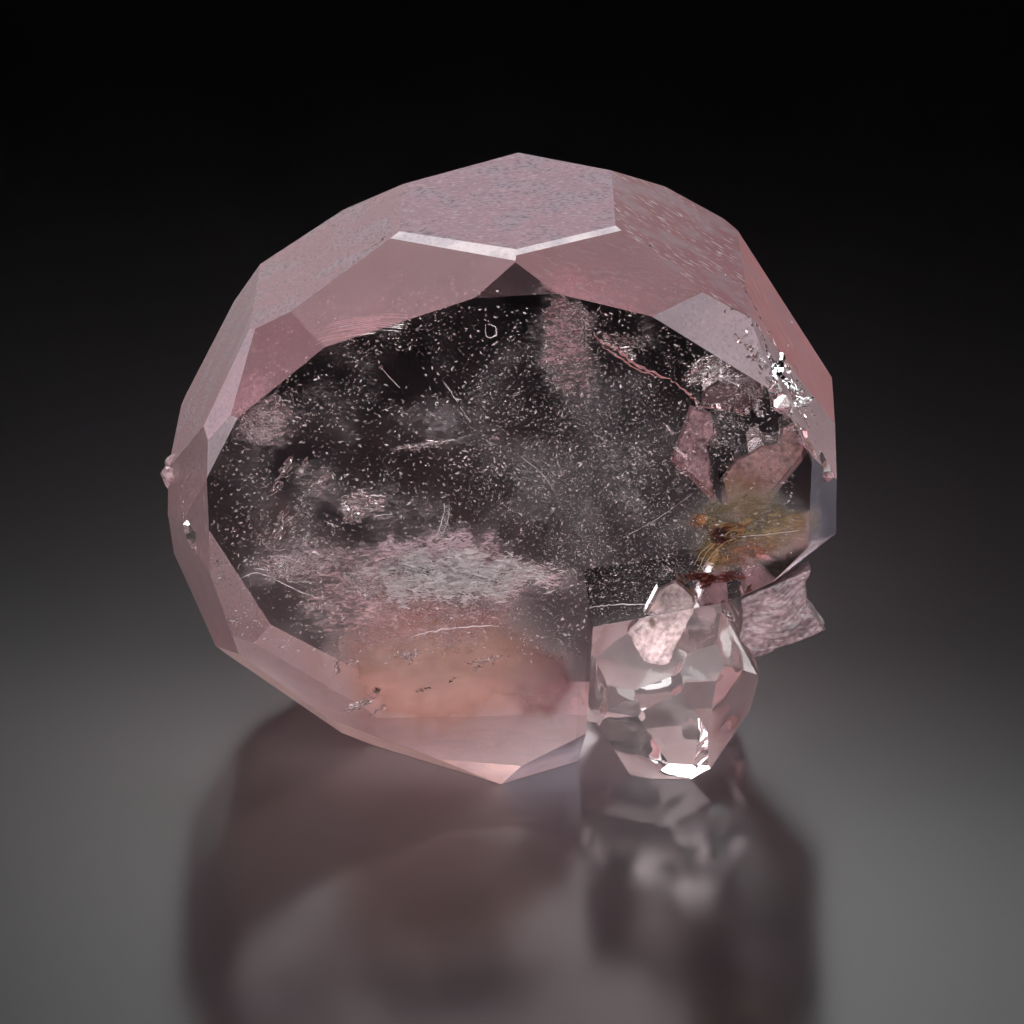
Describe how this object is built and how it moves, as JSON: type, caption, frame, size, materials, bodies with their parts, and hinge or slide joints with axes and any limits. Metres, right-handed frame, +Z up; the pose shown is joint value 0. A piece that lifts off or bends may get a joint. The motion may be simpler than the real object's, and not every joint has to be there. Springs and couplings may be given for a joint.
{
  "type": "morganite crystal",
  "caption": "Thick tabular pink beryl crystal standing on a prism face, with a small crystal and albite blades grown on it.",
  "frame": {"origin": "middle of the specimen's footprint box, on the surface that it stands on", "axes": "+Z up, the wide clear end of the crystal looks along -Y, and its long axis lies along Y"},
  "size_m": [0.0626, 0.0356, 0.0513],
  "materials": {
    "beryl": "clear pale pink beryl with a glassy end and finely etched, frosted prism faces",
    "albite": "pinkish white bladed feldspar, faintly striated, pearly",
    "inclusions": "white flakes, veils and healed cracks inside the crystal",
    "iron_stain": "rusty brown stain and golden fibres inside the crystal"
  },
  "bodies": {
    "root": {"morganite_crystal": "beryl", "albite_blade_front": "albite", "albite_blade_right": "albite", "albite_blade_diagonal": "albite", "albite_blade_left": "albite", "albite_blade_upper": "albite"}
  },
  "joints": []
}
